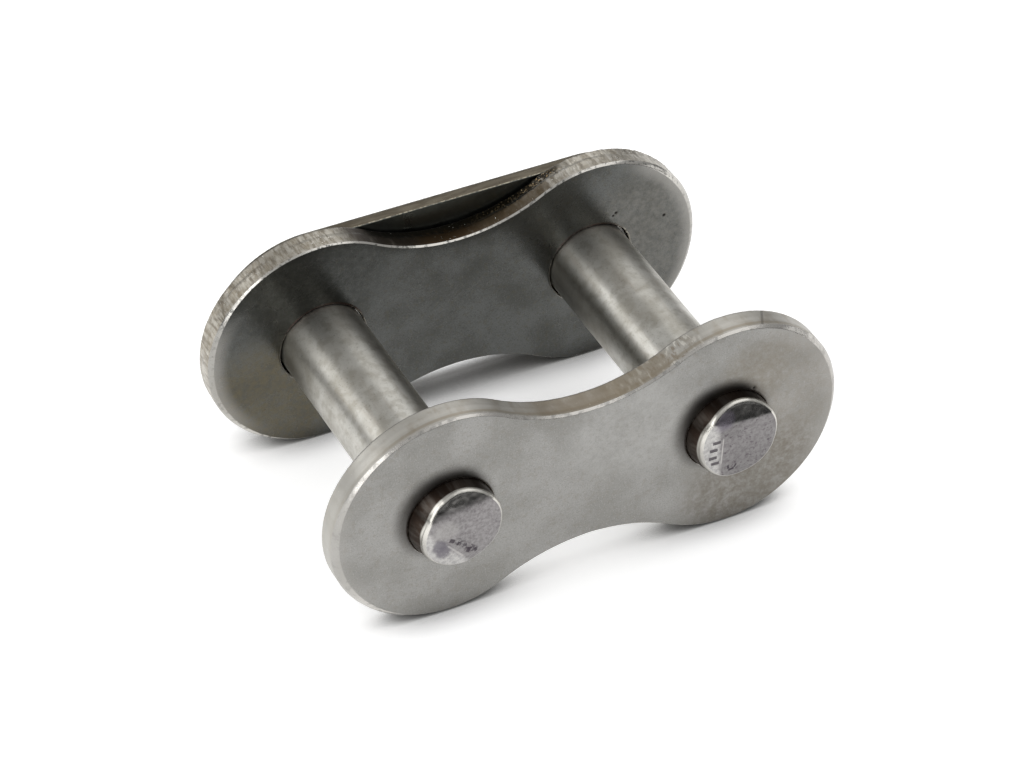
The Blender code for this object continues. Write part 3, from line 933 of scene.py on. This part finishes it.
# A spot's x, z and size in millimetres, its tint and its share
FIXED_WALL_SPOTS = (
    (-17.2, 8.5, 5.0, (0.42, 0.41, 0.38), 0.7), (-0.5, 12.6, 2.6, (0.175, 0.143, 0.10), 0.75),
    (3.6, 13.2, 1.6, (0.27, 0.23, 0.17), 0.6))
# Of the spots below, the third is painted shade: the face's lower right darkened where it mirrors the
# shadowed table at its foot
FIXED_FACE_SPOTS = (
    (14.0, 9.5, 3.2, (0.235, 0.21, 0.175), 0.5), (11.3, 11.6, 1.6, (0.20, 0.18, 0.145), 0.6),
    (11.7, 2.4, 3.2, (0.165, 0.148, 0.122), 0.9), (2.5, 10.6, 2.6, (0.385, 0.38, 0.365), 0.7))
# Its faces are painted far darker than the fixed plate's, on the same steel: painted shade for the gap
# between the plates
LOOSE_PAINT = Plate(
    front=LOOSE_FRONT, light=(0.114, 0.117, 0.113), dark=(0.081, 0.082, 0.076), stain=(0.098, 0.088, 0.062),
    wall_light=(0.47, 0.445, 0.39), wall_dark=(0.21, 0.187, 0.15), wall_stain=(0.24, 0.20, 0.14),
    rim=(0.62, 0.60, 0.56), rough=0.22, streaky=1.0, torn=0.8, rust=0.85, grime=0.0, scars=(), halo=0.6)
# The first three spots lay the waist's wall nearly black: partly brown oil, partly painted shade and
# reflection of the dark clip
LOOSE_WALL_SPOTS = (
    (-3.6, 13.2, 3.2, (0.032, 0.022, 0.014), 0.96), (0.8, 12.8, 2.6, (0.055, 0.033, 0.015), 0.94),
    (4.2, 13.4, 1.9, (0.085, 0.063, 0.038), 0.85), (11.0, 15.2, 3.0, (0.52, 0.49, 0.43), 0.25))
LOOSE_FACE_SPOTS = (
    (-10.5, 13.0, 3.6, (0.058, 0.060, 0.056), 0.9), (-13.5, 4.0, 3.2, (0.125, 0.108, 0.070), 0.8),
    (13.8, 8.8, 3.2, (0.19, 0.185, 0.17), 0.72))
steel = plate_steel("fixed_plate_steel", FIXED_PAINT, FIXED_WALL_SPOTS, FIXED_FACE_SPOTS, FRONT_LOOK.pits)
plate_body(FIXED_FRONT, FIXED_CLEARANCE, FRONT_LOOK, NO_WEAR).piece(
    "fixed_plate_body", steel, "pin_link", "fixed_plate", "plate_steel")
steel = plate_steel("detachable_plate_steel", LOOSE_PAINT, LOOSE_WALL_SPOTS, LOOSE_FACE_SPOTS, BACK_LOOK.pits)
plate_body(LOOSE_FRONT, LOOSE_CLEARANCE, BACK_LOOK, LOOSE_WEAR).piece(
    "detachable_plate_body", steel, "slip_plate", "detachable_plate", "plate_steel")

# The strokes and stains lie round their pin's own axis
# The first stroke of each pin is a painted highlight along a punch mark's border
RIGHT_STROKES = (Stroke(-1.10, -0.45, 2.3, 88, 0.06, RIDGE_HIGHLIGHT, 0.6),) + tuple(
    Stroke(x, z, 0.60, 4, 0.16)
    for x, z in ((-1.50, 0.40), (-1.68, -0.19), (-1.71, -0.80), (-1.54, -1.27))) + (
    Stroke(-0.62, -1.85, 0.34, 100, 0.10), Stroke(-0.40, -2.08, 0.46, 5, 0.10),
    Stroke(-0.12, -1.88, 0.30, 60, 0.09))
LEFT_STROKES = (Stroke(-0.36, -1.53, 1.8, -48.9, 0.08, RIDGE_HIGHLIGHT, 0.45),
                Stroke(-0.60, -0.62, 0.42, -30, 0.20), Stroke(-0.20, -0.95, 0.30, 50, 0.13),
                Stroke(0.50, -1.72, 0.44, 66, 0.18), Stroke(0.98, -1.90, 0.34, -70, 0.13),
                Stroke(0.35, -1.30, 2.1, -42, 0.34, DARK_CUT, 0.7, True))
LEFT_STAINS = ((-1.38, -0.80, 0.33, (0.135, 0.125, 0.145), 0.8),
               (-1.12, -1.32, 0.33, (0.135, 0.125, 0.145), 0.8),
               (-1.0, 0.35, 0.5, (0.44, 0.43, 0.41), 0.35))
RIGHT_STAINS = ((-1.0, 1.9, 0.45, (0.20, 0.18, 0.22), 0.6),)
for name, side, marks, corner, strokes, stains, flat_tone, seed in (
        ("pin_left", -1, LEFT_MARKS, LEFT_CORNER, LEFT_STROKES, LEFT_STAINS, 0.93, 41),
        ("pin_right", 1, RIGHT_MARKS, RIGHT_CORNER, RIGHT_STROKES, RIGHT_STAINS, 0.77, 57)):
    steel = pin_steel(name + "_steel", side, 0.01 * seed, stains, strokes, flat_tone)
    pin = pin_body(side, marks, corner, seed).piece(name + "_body", steel, "pin_link", name, "pin_steel")
    for number, painted in enumerate(("top_mark", "side_mark")):
        paint(pin, painted, punched(side, marks, number, seed))
    paint(pin, "lip", along_lip)
steel = clip_steel("spring_clip_steel")
clip_body().piece("spring_clip_body", steel, "pin_link", "spring_clip", "clip_steel")


# Table, light and camera

# The sheet ends close in front of the link's right half, so that the steel mirrors less of it
TABLE_CORNERS = ((-0.6, -0.25), (-0.04, -0.25), (-0.04, -0.044), (0.6, -0.044), (0.6, 0.8), (-0.6, 0.8))
# How bright the room is to the steel, from the horizon up, and how much brighter towards +Y
SKY_STOPS = ((0.0, 0.048), (0.03, 0.16), (0.12, 0.208), (0.35, 0.36), (0.60, 0.496), (1.0, 0.60))
SKY_BACK = 0.20
# A lamp's watts for a brightness of 1 and an area of 1
LAMP_WATTS = 4
LAMP_AIM = Vector((0, 0, 6 * MM))
# The camera's azimuth, elevation and roll in degrees
CAMERA_TURN = -27.62, 39.996, 1.3486
CAMERA_TARGET = Vector((0, -1.635 * MM, 8.0 * MM))
# How far it stands from its target to the right, up and back
CAMERA_OFFSET = Vector((-0.8 * MM, -0.0803 * MM, 262.76 * MM))
FOCAL_PIXELS = 4199.6
PHOTO_WIDTH = 1024
SENSOR_WIDTH = 36


def cleared(owner):
    """The nodes of a material or a world, with none in them yet."""
    owner.use_nodes = True
    owner.node_tree.nodes.clear()
    return Nodes(owner.node_tree)


def table():
    """A white sheet under the link, greyed near it as painted shadow. To the camera and in reflections it is
    nearly white by itself.
    """
    mesh = bpy.data.meshes.new("table")
    mesh.from_pydata([(x, y, 0) for x, y in TABLE_CORNERS], [], [tuple(range(len(TABLE_CORNERS)))])
    material = bpy.data.materials.new("table_white")
    n = cleared(material)
    rays = n.node("ShaderNodeLightPath").outputs
    seen = n.math("MAXIMUM", rays["Is Camera Ray"], rays["Is Glossy Ray"])
    seen = n.math("MAXIMUM", seen, rays["Is Transmission Ray"])
    # Painted shadow: where the link hems the sheet in, the ambient occlusion takes its glow away and greys
    # its own white
    open_sky = n.node("ShaderNodeAmbientOcclusion", {"Distance": 4 * MM}, samples=12).outputs["AO"]
    lift = n.both(seen, n.ramp(open_sky, 0.46, 0.79, 0.0, 0.52, "LINEAR"))
    glow = n.node("ShaderNodeEmission", {"Strength": lift})
    white = n.ramp(open_sky, 0.25, 0.60, 0.25, 0.83, "LINEAR")
    matt = n.node("ShaderNodeBsdfDiffuse", {"Color": white})
    total = n.node("ShaderNodeAddShader", {0: matt.outputs[0], 1: glow.outputs[0]})
    n.node("ShaderNodeOutputMaterial", {"Surface": total.outputs[0]})
    mesh.materials.append(material)
    sheet = put("table", mesh)


def studio():
    """A soft room: white to the camera, and to the metal brighter above and dim near the horizon."""
    world = bpy.data.worlds.new("studio")
    bpy.context.scene.world = world
    n = cleared(world)
    place = n.node("ShaderNodeTexCoord").outputs["Generated"]
    split = n.node("ShaderNodeSeparateXYZ", {0: place}).outputs
    rise = n.node("ShaderNodeValToRGB", {0: split["Z"]})
    while len(rise.color_ramp.elements) < len(SKY_STOPS):
        rise.color_ramp.elements.new(0.5)
    for stop, (at, level) in zip(rise.color_ramp.elements, SKY_STOPS):
        stop.position = at
        stop.color = (level, level, level, 1)
    behind = n.ramp(split["Y"], -0.2, 0.6, 0.0, SKY_BACK, "LINEAR")
    total = n.math("ADD", rise.outputs["Color"], behind)
    seen = n.node("ShaderNodeLightPath").outputs["Is Camera Ray"]
    level = n.node("ShaderNodeMix", {0: seen, 2: total, 3: 1.0}, data_type="FLOAT")
    sky = n.node("ShaderNodeBackground", {"Color": (1, 1, 1, 1), "Strength": level.outputs[0]})
    n.node("ShaderNodeOutputWorld", {"Surface": sky.outputs[0]})


def lamp(name, place, size, radiance):
    """A long soft box of a given brightness, with its length along the pins, facing the link."""
    data = bpy.data.lights.new(name, "AREA")
    data.shape = "RECTANGLE"
    data.size, data.size_y = size
    data.energy = LAMP_WATTS * radiance * size[0] * size[1]
    thing = put(name, data)
    thing.location = place
    back = (Vector(place) - LAMP_AIM).normalized()
    along = (Vector((0, 1, 0)) - back * back.y).normalized()
    thing.rotation_euler = Matrix((along, back.cross(along), back)).transposed().to_euler()


def camera():
    """The photograph's viewpoint: a long lens, seen from the left and from well above."""
    azimuth, elevation, roll = (radians(turn) for turn in CAMERA_TURN)
    data = bpy.data.cameras.new("camera")
    data.sensor_width = SENSOR_WIDTH
    data.lens = FOCAL_PIXELS * SENSOR_WIDTH / PHOTO_WIDTH
    data.clip_start = 0.01
    thing = put("camera", data)
    facing = Matrix.Rotation(azimuth, 4, "Z") @ Matrix.Rotation(pi / 2 - elevation, 4, "X")
    held = Matrix.Translation(CAMERA_OFFSET) @ Matrix.Rotation(roll, 4, "Z")
    thing.matrix_world = Matrix.Translation(CAMERA_TARGET) @ facing @ held
    bpy.context.scene.camera = thing


table()
studio()
lamp("left_box", (-0.265, -0.02, 0.185), (0.70, 0.175), 1.35)
lamp("right_box", (0.137, 0.0, 0.238), (0.66, 0.19), 0.5)
lamp("left_rim_box", (-0.215, -0.175, 0.036), (0.11, 0.05), 2.2)
lamp("right_rim_box", (0.26, -0.08, 0.035), (0.12, 0.06), 0.55)
camera()
bpy.context.scene.view_settings.view_transform = "Standard"
